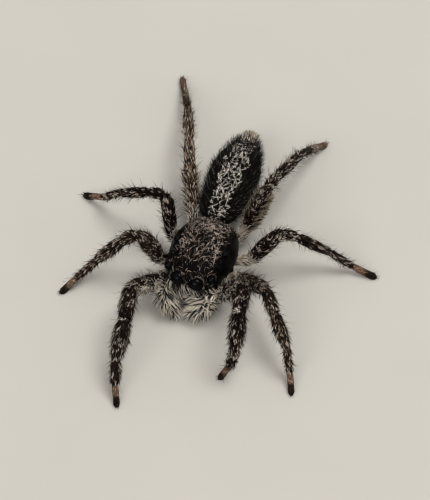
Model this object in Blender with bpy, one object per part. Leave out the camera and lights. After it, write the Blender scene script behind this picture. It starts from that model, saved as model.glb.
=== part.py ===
"""A tan jumping spider, life size, standing still with its legs spread.

It stands on the floor, z = 0. It faces -Y and its left side is +X. Sizes are in millimetres, and
MM turns them into Blender's metres as each mesh is made. The outline of each solid is that of the
animal with its short coat on.
"""

import math

import bmesh
import bpy
from mathutils import Matrix, Vector

MM = 0.001
GAP = 0.04
SLIM = 0.25

# The front body (carapace, eyes, jaws, sternum and hips) is turned about the middle of the face, which
# swings its rear to the left, by this many degrees.
FRONT_BODY_TURN = 4.7
FACE_MIDDLE = (0.0, -2.20, 0.0)

# Head and trunk: half width and heights along the body, front to back, as (y, value) pairs.
CARAPACE_HALF_WIDTH = (
    (-2.34, 0.86), (-2.22, 1.05), (-1.95, 1.22), (-1.50, 1.36), (-0.90, 1.53), (-0.20, 1.64),
    (0.45, 1.58), (1.05, 1.40), (1.50, 1.13), (1.78, 0.75), (1.88, 0.42),
)
CARAPACE_CROWN = (
    (-2.34, 2.30), (-2.20, 2.42), (-1.80, 2.56), (-1.20, 2.70), (-0.50, 2.80), (0.30, 2.74),
    (0.95, 2.44), (1.45, 2.02), (1.78, 1.72), (1.88, 1.56),
)
CARAPACE_MARGIN = ((-2.34, 1.53), (-2.10, 1.45), (-1.60, 1.38), (1.88, 1.38))
CARAPACE_UNDER = 0.05
CARAPACE_RINGS = 17
CARAPACE_SQUARENESS = 2.5

ABDOMEN_HALF_WIDTH = (
    (1.93, 0.48), (2.02, 0.68), (2.35, 0.86), (3.00, 1.04), (3.90, 1.18), (4.80, 1.22),
    (5.60, 1.10), (6.30, 0.85), (6.80, 0.61), (7.05, 0.42),
)
ABDOMEN_TOP = (
    (1.93, 1.86), (2.05, 2.04), (2.40, 2.26), (3.20, 2.44), (4.40, 2.48), (5.50, 2.33),
    (6.40, 1.99), (6.85, 1.76), (7.05, 1.60),
)
ABDOMEN_BELLY = (
    (1.93, 1.06), (2.10, 0.92), (2.60, 0.74), (3.60, 0.58), (4.80, 0.58), (5.80, 0.74),
    (6.60, 0.98), (7.05, 1.14),
)
ABDOMEN_WAIST = 0.46
ABDOMEN_RINGS = 18
ABDOMEN_SQUARENESS = 2.15
ABDOMEN_SET_OVER = 0.12
ABDOMEN_SWING = 0.028

STERNUM_HALF_WIDTH = ((-1.40, 0.30), (-1.00, 0.50), (0.00, 0.58), (0.90, 0.44), (1.30, 0.24))
STERNUM_TOP = 1.24
STERNUM_BOTTOM = 0.72
STERNUM_RINGS = 8
STERNUM_SIDES = 14
STERNUM_SQUARENESS = 2.6
STALK_SIDES = 12
PEDICEL = {"start": (0.0, 1.34, 1.07), "end": (0.10, 1.89, 1.09), "radius": 0.20}
PEDICEL_RINGS = (0.0, 0.5, 1.0)
# The spinnerets with the fan of hair round them: each ring as (fraction of the length, share of the width).
SPINNERETS = {"start": 7.09, "end": 7.52, "height": 1.38, "half_width": 0.48, "half_height": 0.21}
SPINNERET_RINGS = ((0.0, 0.92), (0.55, 1.0), (1.0, 0.78))

# Eyes: centre on the left side and radius, for each of the four pairs.
EYES = {
    "eye_front_middle": ((0.45, -2.17, 2.00), 0.33),
    "eye_front_side": ((1.08, -1.83, 2.20), 0.20),
    "eye_small": ((1.19, -1.20, 2.42), 0.09),
    "eye_rear": ((1.20, -0.42, 2.48), 0.18),
}
FRONT_EYE_DETAIL = 3
SMALL_EYE_DETAIL = 2
SOCKET_GAP = 0.06

# Jaws: each ring as (fraction of the way down, half width, half depth, how far forward).
CHELICERA = {"side": 0.31, "front": -1.86, "top": 1.25, "bottom": 0.46}
CHELICERA_RINGS = (
    (0.00, 0.22, 0.20, 0.02), (0.18, 0.27, 0.27, -0.04), (0.50, 0.27, 0.28, -0.08),
    (0.82, 0.22, 0.22, -0.02), (1.00, 0.13, 0.13, 0.05),
)

# Palps: corner points from the mouth to the tip, and the half thickness at each corner.
PALPS = {
    "right": ((-0.64, -1.52, 0.86), (-0.99, -2.20, 1.03), (-1.01, -2.54, 1.04), (-0.80, -2.76, 0.80),
              (-0.42, -2.88, 0.40)),
    "left": ((0.64, -1.50, 0.88), (1.12, -2.10, 1.12), (1.10, -2.42, 1.10), (0.90, -2.62, 0.82),
             (0.52, -2.76, 0.42)),
}
PALP_HALF_WIDTHS = (0.20, 0.22, 0.25, 0.27, 0.16)

# Legs: lengths and girths are shared by the left and right leg of each pair.
SEGMENTS = ("coxa", "femur", "patella", "tibia", "metatarsus", "tarsus")
LEG_LENGTHS = {
    1: {"femur": 2.70, "patella": 1.67, "tibia": 1.85, "metatarsus": 1.19, "tarsus": 0.84},
    2: {"femur": 2.46, "patella": 1.31, "tibia": 1.64, "metatarsus": 1.30, "tarsus": 0.87},
    3: {"femur": 2.32, "patella": 1.06, "tibia": 1.87, "metatarsus": 1.41, "tarsus": 1.10},
    4: {"femur": 2.78, "patella": 1.39, "tibia": 2.54, "metatarsus": 2.16, "tarsus": 0.89},
}
COXA_START = {
    1: (0.84, -0.80, 0.90), 2: (0.90, -0.28, 0.90), 3: (0.90, 0.26, 0.90), 4: (0.78, 0.80, 0.90),
}
FEMUR_START = {
    "leg_1_right": (-1.38, -1.70, 0.88), "leg_1_left": (1.54, -1.69, 0.84),
    "leg_2_right": (-1.74, -0.76, 0.99), "leg_2_left": (2.04, -0.60, 1.02),
    "leg_3_right": (-1.68, 0.74, 0.97), "leg_3_left": (2.28, 0.54, 0.96),
    "leg_4_right": (-1.00, 2.06, 0.95), "leg_4_left": (1.55, 2.22, 0.92),
}
FEMUR_GIRTH = {1: 1.00, 2: 1.00, 3: 0.98, 4: 1.02}
SHIN_GIRTH = {1: 1.00, 2: 0.86, 3: 0.76, 4: 0.80}
PAD_RADIUS = 0.235
TIP_HEIGHT = 0.13

# Half width and half depth of a front leg along each segment, as (fraction, width, depth).
SEGMENT_GIRTHS = {
    "coxa": ((0.0, 0.23, 0.25), (1.0, 0.31, 0.31)),
    "femur": (
        (0.0, 0.31, 0.31), (0.2, 0.33, 0.39), (0.5, 0.37, 0.50), (0.85, 0.35, 0.43), (1.0, 0.35, 0.38),
    ),
    "patella": ((0.0, 0.35, 0.38), (0.5, 0.40, 0.41), (1.0, 0.34, 0.35)),
    "tibia": ((0.0, 0.34, 0.35), (0.45, 0.41, 0.41), (0.85, 0.33, 0.33), (1.0, 0.28, 0.28)),
    "metatarsus": ((0.0, 0.28, 0.28), (0.3, 0.29, 0.29), (1.0, 0.25, 0.25)),
    "tarsus": ((0.0, 0.25, 0.25), (0.5, 0.25, 0.25), (1.0, PAD_RADIUS, PAD_RADIUS)),
}

# Pose: the femur's heading (degrees from +X towards +Y), the pitch of the four upper segments,
# and how far the heading turns at each joint from the knee down.
POSE = {
    "leg_1_right": {"heading": -115, "pitch": (36, -7, -30, -39), "turn": (35, -7, 13, 8)},
    "leg_2_right": {"heading": -165, "pitch": (66, -48, -41, -31), "turn": (-5, 24, 15, 4)},
    "leg_3_right": {"heading": 125, "pitch": (68, -23, -32, -48), "turn": (43, 5, -8, 2)},
    "leg_4_right": {"heading": 112, "pitch": (17, 12, -17, -26), "turn": (-3, 0, 3, 2)},
    "leg_1_left": {"heading": -27, "pitch": (59, 9, -48, -76), "turn": (-54, 1, -48, -21)},
    "leg_2_left": {"heading": -35, "pitch": (35, -19, -17, -57), "turn": (-18, 1, -6, -10)},
    "leg_3_left": {"heading": 31, "pitch": (53, -34, -33, -34), "turn": (-4, -14, -8, -8)},
    "leg_4_left": {"heading": 50, "pitch": (66, -24, -20, -41), "turn": (32, -6, 2, -12)},
}

BODY_SIDES = 22
LEG_SIDES = 10
PALP_SIDES = 10
PALP_BEND_RADIUS = 0.30
BEND_STEPS = 1
BEND_RADIUS = 0.46
BEND_ROOM = 0.48
MITRE_LIMIT = 40
STRAIGHT_RINGS = (0.22, 0.5, 0.78)
END_RINGS = (40, 72)
SHARP_ANGLE = 50
RIGHT_TO_LEFT = Vector((1, 0, 0))
FRONT_TO_BACK = Vector((0, 1, 0))
UPWARDS = Vector((0, 0, 1))

COLOURS = {
    "carapace": ((0.035, 0.027, 0.022), 0.55),
    "abdomen": ((0.060, 0.050, 0.042), 0.75),
    "underside": ((0.075, 0.055, 0.040), 0.70),
    "leg": ((0.050, 0.038, 0.031), 0.65),
    "palp": ((0.240, 0.210, 0.170), 0.75),
    "spinnerets": ((0.190, 0.175, 0.150), 0.80),
    "eye": ((0.004, 0.004, 0.005), 0.08),
}


def clear_scene():
    for obj in list(bpy.data.objects):
        bpy.data.objects.remove(obj, do_unlink=True)


def material(name):
    """The Principled material of this name, made on first use."""
    found = bpy.data.materials.get(name)
    if found:
        return found
    colour, roughness = COLOURS[name]
    made = bpy.data.materials.new(name)
    made.use_nodes = True
    shader = made.node_tree.nodes["Principled BSDF"]
    shader.inputs["Base Color"].default_value = (*colour, 1.0)
    shader.inputs["Roughness"].default_value = roughness
    shader.inputs["Metallic"].default_value = 0.0
    return made


def smooth_value(points, at):
    """The value at this position on a smooth curve through (position, value) points."""
    last = len(points) - 1
    if at <= points[0][0]:
        return points[0][1]
    if at >= points[last][0]:
        return points[last][1]
    index = max(i for i in range(last) if points[i][0] <= at)
    (x0, y0), (x1, y1) = points[index], points[index + 1]
    before = points[max(index - 1, 0)]
    after = points[min(index + 2, last)]
    slope_0 = (y1 - before[1]) / (x1 - before[0])
    slope_1 = (after[1] - y0) / (after[0] - x0)
    span = x1 - x0
    t = (at - x0) / span
    return (
        (2 * t**3 - 3 * t**2 + 1) * y0
        + (t**3 - 2 * t**2 + t) * span * slope_0
        + (3 * t**2 - 2 * t**3) * y1
        + (t**3 - t**2) * span * slope_1
    )


def eased(start, end, count):
    """Positions from start to end, closer together at both ends, where a body rounds off."""
    steps = [(1 - math.cos(math.pi * i / (count - 1))) / 2 for i in range(count)]
    return [start + (end - start) * step for step in steps]


def oval(centre, across, up, half_width, rise, drop, squareness, sides):
    """A closed ring about centre: a superellipse with its own height above and below the centre."""
    ring = []
    for step in range(sides):
        angle = 2 * math.pi * step / sides
        c, s = math.cos(angle), math.sin(angle)
        x = math.copysign(abs(c) ** (2 / squareness), c) * half_width
        z = math.copysign(abs(s) ** (2 / squareness), s) * (rise if s > 0 else drop)
        ring.append(centre + across * x + up * z)
    return ring


def loft(rings):
    """A closed bmesh through the rings, with flat ends, in millimetres."""
    mesh = bmesh.new()
    loops = [[mesh.verts.new(point) for point in ring] for ring in rings]
    sides = len(loops[0])
    for near, far in zip(loops, loops[1:]):
        for i in range(sides):
            j = (i + 1) % sides
            mesh.faces.new((near[i], near[j], far[j], far[i]))
    mesh.faces.new(list(reversed(loops[0])))
    mesh.faces.new(loops[-1])
    if mesh.calc_volume(signed=True) < 0:
        bmesh.ops.reverse_faces(mesh, faces=mesh.faces)
    return mesh


def cut_flat(mesh, height):
    """Takes off what lies below this height and closes the cut, which leaves a flat to stand on."""
    geometry = mesh.verts[:] + mesh.edges[:] + mesh.faces[:]
    cut = bmesh.ops.bisect_plane(
        mesh, geom=geometry, plane_co=(0, 0, height), plane_no=(0, 0, 1), clear_inner=True, dist=1e-5
    )
    edges = [item for item in cut["geom_cut"] if isinstance(item, bmesh.types.BMEdge)]
    bmesh.ops.holes_fill(mesh, edges=edges)


def add_object(name, mesh, finish):
    """Turns a bmesh in millimetres into a named object in metres."""
    bmesh.ops.scale(mesh, vec=(MM, MM, MM), verts=mesh.verts)
    data = bpy.data.meshes.new(name)
    mesh.to_mesh(data)
    mesh.free()
    data.shade_smooth()
    data.set_sharp_from_angle(angle=math.radians(SHARP_ANGLE))
    data.materials.append(material(finish))
    obj = bpy.data.objects.new(name, data)
    bpy.context.scene.collection.objects.link(obj)
    return obj


def subtract(obj, cutter):
    """Cuts the cutter's shape out of the object."""
    cutter.hide_render = True
    cutter.display_type = "WIRE"
    boolean = obj.modifiers.new("socket", "BOOLEAN")
    boolean.operation = "DIFFERENCE"
    boolean.solver = "EXACT"
    boolean.object = cutter


def turned(point):
    """Where a point of the front body lies once that body is turned."""
    middle = Vector(FACE_MIDDLE)
    return middle + Matrix.Rotation(-math.radians(FRONT_BODY_TURN), 3, "Z") @ (Vector(point) - middle)


def make_carapace():
    rings = []
    front, back = CARAPACE_HALF_WIDTH[0][0], CARAPACE_HALF_WIDTH[-1][0]
    for y in eased(front, back, CARAPACE_RINGS):
        margin = smooth_value(CARAPACE_MARGIN, y)
        half_width = smooth_value(CARAPACE_HALF_WIDTH, y)
        rise = smooth_value(CARAPACE_CROWN, y) - margin
        centre = Vector((0, y, margin))
        ring = oval(
            centre, RIGHT_TO_LEFT, UPWARDS, half_width, rise, CARAPACE_UNDER, CARAPACE_SQUARENESS, BODY_SIDES
        )
        rings.append([turned(point) for point in ring])
    return add_object("carapace", loft(rings), "carapace")


def abdomen_axis(y):
    """How far the abdomen's middle lies to the left at this place: it swings a little to the left."""
    return ABDOMEN_SET_OVER + ABDOMEN_SWING * (y - ABDOMEN_HALF_WIDTH[0][0])


def make_abdomen():
    rings = []
    front, back = ABDOMEN_HALF_WIDTH[0][0], ABDOMEN_HALF_WIDTH[-1][0]
    for y in eased(front, back, ABDOMEN_RINGS):
        top = smooth_value(ABDOMEN_TOP, y)
        belly = smooth_value(ABDOMEN_BELLY, y)
        waist = belly + ABDOMEN_WAIST * (top - belly)
        centre = Vector((abdomen_axis(y), y, waist))
        half_width = smooth_value(ABDOMEN_HALF_WIDTH, y)
        rise, drop = top - waist, waist - belly
        ring = oval(
            centre, RIGHT_TO_LEFT, UPWARDS, half_width, rise, drop, ABDOMEN_SQUARENESS, BODY_SIDES
        )
        rings.append(ring)
    return add_object("abdomen", loft(rings), "abdomen")


def make_underside():
    rings = []
    waist = (STERNUM_TOP + STERNUM_BOTTOM) / 2
    half_height = (STERNUM_TOP - STERNUM_BOTTOM) / 2
    for y in eased(STERNUM_HALF_WIDTH[0][0], STERNUM_HALF_WIDTH[-1][0], STERNUM_RINGS):
        centre = Vector((0, y, waist))
        half_width = smooth_value(STERNUM_HALF_WIDTH, y)
        ring = oval(
            centre, RIGHT_TO_LEFT, UPWARDS, half_width, half_height, half_height,
            STERNUM_SQUARENESS, STERNUM_SIDES,
        )
        rings.append([turned(point) for point in ring])
    add_object("underside", loft(rings), "underside")


def make_pedicel():
    """The thin stalk between the head and the abdomen."""
    start, end = turned(PEDICEL["start"]), Vector(PEDICEL["end"])
    radius = PEDICEL["radius"]
    rings = []
    for t in PEDICEL_RINGS:
        ring = oval(start.lerp(end, t), RIGHT_TO_LEFT, UPWARDS, radius, radius, radius, 2, STALK_SIDES)
        rings.append(ring)
    add_object("pedicel", loft(rings), "underside")


def make_spinnerets():
    rings = []
    for t, share in SPINNERET_RINGS:
        y = SPINNERETS["start"] + t * (SPINNERETS["end"] - SPINNERETS["start"])
        centre = Vector((abdomen_axis(y), y, SPINNERETS["height"]))
        width = share * SPINNERETS["half_width"]
        height = share * SPINNERETS["half_height"]
        rings.append(oval(centre, RIGHT_TO_LEFT, UPWARDS, width, height, height, 2, STALK_SIDES))
    add_object("spinnerets", loft(rings), "spinnerets")


def ball(centre, radius, detail):
    mesh = bmesh.new()
    place = Matrix.Translation(centre)
    bmesh.ops.create_icosphere(mesh, subdivisions=detail, radius=radius, matrix=place)
    return mesh


def make_eyes(carapace):
    """Eight eyes, each in a socket of its own that clears it all round."""
    for name, (centre, radius) in EYES.items():
        detail = FRONT_EYE_DETAIL if name == "eye_front_middle" else SMALL_EYE_DETAIL
        for side, sign in (("right", -1), ("left", 1)):
            place = turned((sign * centre[0], centre[1], centre[2]))
            add_object(f"{name}_{side}", ball(place, radius, detail), "eye")
            hollow = ball(place, radius + SOCKET_GAP, SMALL_EYE_DETAIL)
            subtract(carapace, add_object(f"socket_{name}_{side}", hollow, "eye"))


def make_chelicerae():
    top, bottom = CHELICERA["top"], CHELICERA["bottom"]
    for side, sign in (("right", -1), ("left", 1)):
        rings = []
        for t, half_width, half_depth, forward in CHELICERA_RINGS:
            height = top + t * (bottom - top)
            centre = Vector((sign * CHELICERA["side"], CHELICERA["front"] + forward, height))
            ring = oval(
                centre, RIGHT_TO_LEFT, FRONT_TO_BACK, half_width, half_depth, half_depth, 2, STALK_SIDES
            )
            rings.append([turned(point) for point in ring])
        add_object(f"chelicera_{side}", loft(rings), "underside")


def bend_stations(corner, into, out, radius, steps):
    """Points and directions round a rounded corner, from where the bend starts to where it ends."""
    angle = into.angle(out)
    if angle < math.radians(MITRE_LIMIT):
        return [(corner, (into + out).normalized())]
    reach = radius * math.tan(angle / 2)
    first = corner - into * reach
    axis = into.cross(out).normalized()
    inward = axis.cross(into)
    hub = first + inward * radius
    stations = []
    for step in range(2 * steps + 1):
        turn = Matrix.Rotation(angle * step / (2 * steps), 3, axis)
        stations.append((hub - turn @ (inward * radius), turn @ into))
    return stations


def limb_pieces(corners, radii, steps):
    """Splits a limb with rounded joints into its segments: a list of (point, direction) for each."""
    directions = [(b - a).normalized() for a, b in zip(corners, corners[1:])]
    lengths = [(b - a).length for a, b in zip(corners, corners[1:])]
    bends = []
    for i in range(1, len(directions)):
        angle = directions[i - 1].angle(directions[i])
        room = BEND_ROOM * min(lengths[i - 1], lengths[i])
        radius = min(radii[i], room / max(math.tan(angle / 2), 1e-6))
        bends.append(bend_stations(corners[i], directions[i - 1], directions[i], radius, steps))
    pieces = []
    for i, direction in enumerate(directions):
        head = [(corners[i], direction)]
        tail = [(corners[i + 1], direction)]
        if i > 0:
            head = bends[i - 1][len(bends[i - 1]) // 2:]
        if i < len(directions) - 1:
            tail = bends[i][:len(bends[i]) // 2 + 1]
        pieces.append((head, tail))
    return pieces


def scaled_girth(girth, scale):
    """The girth to scale, but never under SLIM unless the full-size leg is slimmer there itself."""
    return max(girth * scale, min(girth, SLIM))


def segment_rings(head, tail, girth, scale, across, sides, gaps):
    """Rings from the joint at the head to the joint at the tail of one segment."""
    start, end = head[0][0], tail[-1][0]
    span = (end - start).length
    stations = list(head)
    first, last = head[-1][0], tail[0][0]
    direction = (last - first).normalized()
    for t in STRAIGHT_RINGS:
        stations.append((first.lerp(last, t), direction))
    stations += tail
    widths = tuple((t, w) for t, w, _ in girth)
    depths = tuple((t, d) for t, _, d in girth)
    rings = []
    for index, (point, heading) in enumerate(stations):
        t = min(max((point - start).dot(end - start) / span**2, 0.0), 1.0)
        blend = across[0].lerp(across[1], 2 * t) if t < 0.5 else across[1].lerp(across[2], 2 * t - 1)
        side = (blend - heading * blend.dot(heading)).normalized()
        dorsal = heading.cross(side)
        if index == 0:
            point = point + heading * gaps[0]
        if index == len(stations) - 1:
            point = point - heading * gaps[1]
        half_width = scaled_girth(smooth_value(widths, t), scale)
        half_depth = scaled_girth(smooth_value(depths, t), scale)
        rings.append(oval(point, side, dorsal, half_width, half_depth, half_depth, 2, sides))
    return rings


def leg_corners(name):
    """The joints of one leg, from the sternum's edge to the tip, which ends at TIP_HEIGHT."""
    pair = int(name.split("_")[1])
    sign = -1 if name.endswith("right") else 1
    pose = POSE[name]
    corners = [turned(Vector(COXA_START[pair]) * Vector((sign, 1, 1))), Vector(FEMUR_START[name])]
    heading = math.radians(pose["heading"])
    turns = (0,) + pose["turn"]
    for index, segment in enumerate(SEGMENTS[1:]):
        heading += math.radians(turns[index])
        length = LEG_LENGTHS[pair][segment]
        if segment == "tarsus":
            pitch = math.asin((TIP_HEIGHT - corners[-1].z) / length)
        else:
            pitch = math.radians(pose["pitch"][index])
        level = Vector((math.cos(heading), math.sin(heading), 0))
        step = level * math.cos(pitch) + UPWARDS * math.sin(pitch)
        corners.append(corners[-1] + step * length)
    return pair, corners


def rounded_end(ring, along):
    """Rings that close a limb's end with a half ball."""
    centre = sum(ring, Vector()) / len(ring)
    radius = (ring[0] - centre).length
    rings = []
    for degrees in END_RINGS:
        angle = math.radians(degrees)
        middle = centre + along * radius * math.sin(angle)
        rings.append([middle + (point - centre) * math.cos(angle) for point in ring])
    return rings


def make_leg(name):
    """One leg as five solids: femur with the coxa, patella, tibia, metatarsus and tarsus."""
    pair, corners = leg_corners(name)
    radii = [BEND_RADIUS * SHIN_GIRTH[pair]] * len(corners)
    pieces = limb_pieces(corners, radii, BEND_STEPS)
    sideways = [UPWARDS.cross(far - near).normalized() for near, far in zip(corners, corners[1:])]
    middles = [(a + b).normalized() for a, b in zip(sideways, sideways[1:])]
    joints = [sideways[0]] + middles + [sideways[-1]]
    solids = {}
    for index, segment in enumerate(SEGMENTS):
        across = (joints[index], sideways[index], joints[index + 1])
        head_gap = 0.0 if segment in ("coxa", "femur") else GAP / 2
        tail_gap = 0.0 if segment in ("coxa", "tarsus") else GAP / 2
        scale = FEMUR_GIRTH[pair] if segment in ("coxa", "femur") else SHIN_GIRTH[pair]
        solids[segment] = segment_rings(
            *pieces[index], SEGMENT_GIRTHS[segment], scale, across, LEG_SIDES, (head_gap, tail_gap)
        )
    solids["femur"] = solids.pop("coxa")[:-1] + solids["femur"]
    solids["tarsus"] += rounded_end(solids["tarsus"][-1], (corners[-1] - corners[-2]).normalized())
    for segment, rings in solids.items():
        mesh = loft(rings)
        if segment == "tarsus":
            cut_flat(mesh, 0.0)
        add_object(f"{name}_{segment}", mesh, "leg")


def make_palp(side):
    corners = [Vector(point) for point in PALPS[side]]
    pieces = limb_pieces(corners, [PALP_BEND_RADIUS] * len(corners), BEND_STEPS)
    rings = []
    for index, (head, tail) in enumerate(pieces):
        along = (corners[index + 1] - corners[index]).normalized()
        sideways = UPWARDS.cross(along).normalized()
        girth = tuple((t, PALP_HALF_WIDTHS[index + t], PALP_HALF_WIDTHS[index + t]) for t in (0, 1))
        piece = segment_rings(head, tail, girth, 1.0, (sideways,) * 3, PALP_SIDES, (0.0, 0.0))
        rings += piece if index == len(pieces) - 1 else piece[:-1]
    add_object(f"palp_{side}", loft(rings), "palp")


def centre_over_floor():
    """Moves every piece so that the origin is under the middle of the whole animal, on the floor."""
    bpy.context.view_layer.update()
    shown = [obj for obj in bpy.data.objects if not obj.hide_render]
    corners = [obj.matrix_world @ vertex.co for obj in shown for vertex in obj.data.vertices]
    middle_x = (min(c.x for c in corners) + max(c.x for c in corners)) / 2
    middle_y = (min(c.y for c in corners) + max(c.y for c in corners)) / 2
    for obj in bpy.data.objects:
        obj.data.transform(Matrix.Translation((-middle_x, -middle_y, 0)))


def build():
    clear_scene()
    carapace = make_carapace()
    make_eyes(carapace)
    make_underside()
    make_pedicel()
    make_abdomen()
    make_spinnerets()
    make_chelicerae()
    for side in PALPS:
        make_palp(side)
    for name in POSE:
        make_leg(name)
    centre_over_floor()


build()
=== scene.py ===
"""The looks of the tan jumping spider: skin, eyes, claws and the whole coat, all made in mesh code.

The geometry is worked out in millimetres in the spider's own frame: the origin is on the floor under the
middle of the carapace, the spider faces -Y and its left side is +X. MM turns lengths into metres.
"""

import math

import bmesh
import bpy
import numpy as np
from mathutils import Matrix, Vector
from mathutils.bvhtree import BVHTree


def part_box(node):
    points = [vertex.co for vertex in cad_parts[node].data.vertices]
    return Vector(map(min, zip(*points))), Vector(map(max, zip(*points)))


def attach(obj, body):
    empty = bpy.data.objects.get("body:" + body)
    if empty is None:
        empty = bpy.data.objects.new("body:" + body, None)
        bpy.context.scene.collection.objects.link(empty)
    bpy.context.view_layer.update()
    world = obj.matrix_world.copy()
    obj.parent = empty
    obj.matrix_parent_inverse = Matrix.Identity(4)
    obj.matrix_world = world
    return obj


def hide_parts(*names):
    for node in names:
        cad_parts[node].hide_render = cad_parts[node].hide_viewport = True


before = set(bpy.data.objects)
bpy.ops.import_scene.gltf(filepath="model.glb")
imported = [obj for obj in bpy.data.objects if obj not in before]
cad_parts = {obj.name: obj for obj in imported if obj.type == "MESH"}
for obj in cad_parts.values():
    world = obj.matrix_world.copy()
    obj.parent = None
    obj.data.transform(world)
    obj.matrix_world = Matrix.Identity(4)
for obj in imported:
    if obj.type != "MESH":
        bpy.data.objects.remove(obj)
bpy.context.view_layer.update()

MM = 0.001
rng = np.random.default_rng(seed=7)
UP = np.array((0.0, 0.0, 1.0))

# The camera's place round the spider, its distance in millimetres and its framing.
CAMERA_ELEVATION = 55.148
CAMERA_AZIMUTH = 15.446
CAMERA_DISTANCE = 110.0
CAMERA_TARGET = Vector((0.0, 0.0, 1.5))
CAMERA_LENS = 167.0
CAMERA_SLIDE = (0.671, 0.021)
CAMERA_ROLL = 2.18

# Eyes: centre on the left side and radius, as in the solids.
EYES = {
    "eye_front_middle": ((0.45, -2.17, 2.00), 0.33),
    "eye_front_side": ((1.08, -1.83, 2.20), 0.20),
    "eye_small": ((1.19, -1.20, 2.42), 0.09),
    "eye_rear": ((1.20, -0.42, 2.48), 0.18),
}
SIDES = {"right": -1, "left": 1}

# The front body is turned about the middle of the face by this many degrees, which swings its rear left.
FRONT_BODY_TURN = 4.7
FACE_MIDDLE = np.array((0.0, -2.20, 0.0))

# Where each leg leaves the sternum's edge, before that turn, and where its femur starts.
COXA_START = {1: (0.84, -0.80, 0.90), 2: (0.90, -0.28, 0.90), 3: (0.90, 0.26, 0.90), 4: (0.78, 0.80, 0.90)}
FEMUR_START = {
    "leg_1_right": (-1.38, -1.70, 0.88), "leg_1_left": (1.54, -1.69, 0.84),
    "leg_2_right": (-1.74, -0.76, 0.99), "leg_2_left": (2.04, -0.60, 1.02),
    "leg_3_right": (-1.68, 0.74, 0.97), "leg_3_left": (2.28, 0.54, 0.96),
    "leg_4_right": (-1.00, 2.06, 0.95), "leg_4_left": (1.55, 2.22, 0.92),
}
PALP_PATHS = {
    "right": (
        (-0.64, -1.52, 0.86), (-0.99, -2.20, 1.03), (-1.01, -2.54, 1.04), (-0.80, -2.76, 0.80), (-0.42, -2.88, 0.40),
    ),
    "left": (
        (0.64, -1.50, 0.88), (1.12, -2.10, 1.12), (1.10, -2.42, 1.10), (0.90, -2.62, 0.82), (0.52, -2.76, 0.42),
    ),
}
SEGMENTS = ("femur", "patella", "tibia", "metatarsus", "tarsus")
LEGS = [f"leg_{pair}_{side}" for pair in (1, 2, 3, 4) for side in SIDES]
FRONT_LEGS = ("leg_1_right", "leg_1_left")
HIND_LEGS = ("leg_4_right", "leg_4_left")

# Where the body starts, how long it is, the height of its middle and where the abdomen starts.
BODY_FRONT = -2.4
BODY_LENGTH = 9.9
BODY_MIDDLE = 1.4
ABDOMEN_START = 1.93

# How deep the coat is over the skin, in millimetres.
COAT_DEPTH = {
    "carapace": 0.025, "abdomen": 0.05, "underside": 0.05, "pedicel": 0.04, "spinnerets": 0.13,
    "chelicera": 0.02, "palp": 0.09,
    "coxa": 0.04, "femur": 0.045, "patella": 0.045, "tibia": 0.050, "metatarsus": 0.065, "tarsus": 0.085,
}
# How far each solid swells to meet its neighbours, the grain of the skin's mesh, and how it is smoothed.
BRIDGE = 0.03
VOXEL = 0.05
SMOOTHING = 6
TRUNK_SMOOTHING = 40
# How deep and how wide the skin's creases at the joints are, and how far it is drawn in round an eye.
CREASE_DEPTH = 0.05
CREASE_HALF = 0.12
EYE_SOCKET = 0.085

PARTS = ("carapace", "abdomen", "underside", "pedicel", "spinnerets", "chelicera", "palp", "coxa") + SEGMENTS
PART = {name: index for index, name in enumerate(PARTS)}


# ---- small helpers ----


def unit(v):
    return v / np.maximum(np.linalg.norm(v, axis=-1, keepdims=True), 1e-12)


def lengths(v):
    return np.linalg.norm(v, axis=1)


def dot(a, b):
    return (a * b).sum(-1)


def tangent(direction, normal):
    """The direction laid flat on the surface."""
    return unit(direction - normal * dot(direction, normal)[..., None])


def step(value, low, high):
    """0 below low, 1 above high and smooth between."""
    t = np.clip((value - low) / (high - low), 0.0, 1.0)
    return t * t * (3 - 2 * t)


def bump(value, centre, half):
    """1 at the centre, falling smoothly to 0 at half either side."""
    return step(1 - np.abs(value - centre) / half, 0.0, 1.0)


def turned(points, back=False):
    """Points of the front body once it is turned, or the other way."""
    angle = math.radians(FRONT_BODY_TURN) * (-1 if back else 1)
    c, s = math.cos(angle), math.sin(angle)
    matrix = np.array(((c, s, 0), (-s, c, 0), (0, 0, 1)))
    return (np.asarray(points, float) - FACE_MIDDLE) @ matrix.T + FACE_MIDDLE


def hashed(cells, seed):
    """A random value from 0 to 1 for each cell of a grid, by its whole-numbered place."""
    h = cells[..., 0] * 73856093 ^ cells[..., 1] * 19349663 ^ cells[..., 2] * 83492791
    h = h ^ (seed * 668265263 + 374761393)
    h = (h ^ (h >> 13)) * 1274126177
    h = (h ^ (h >> 16)) & 0xFFFFFF
    return h / float(0xFFFFFF)


def noise(points, size, seed):
    """Smooth random values from 0 to 1, with features of about this size."""
    q = points / size
    base = np.floor(q).astype(np.int64)
    f = q - base
    f = f * f * (3 - 2 * f)
    total = np.zeros(len(points))
    for corner in range(8):
        offset = np.array([(corner >> k) & 1 for k in range(3)])
        weight = np.prod(np.where(offset, f, 1 - f), axis=1)
        total += weight * hashed(base + offset, seed)
    return total


def patches(w, size, seed, low, high):
    """0 and 1 in soft-edged patches of about this size. Their share falls as low and high rise."""
    return step(noise(w.points, size, seed), low, high)


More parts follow.
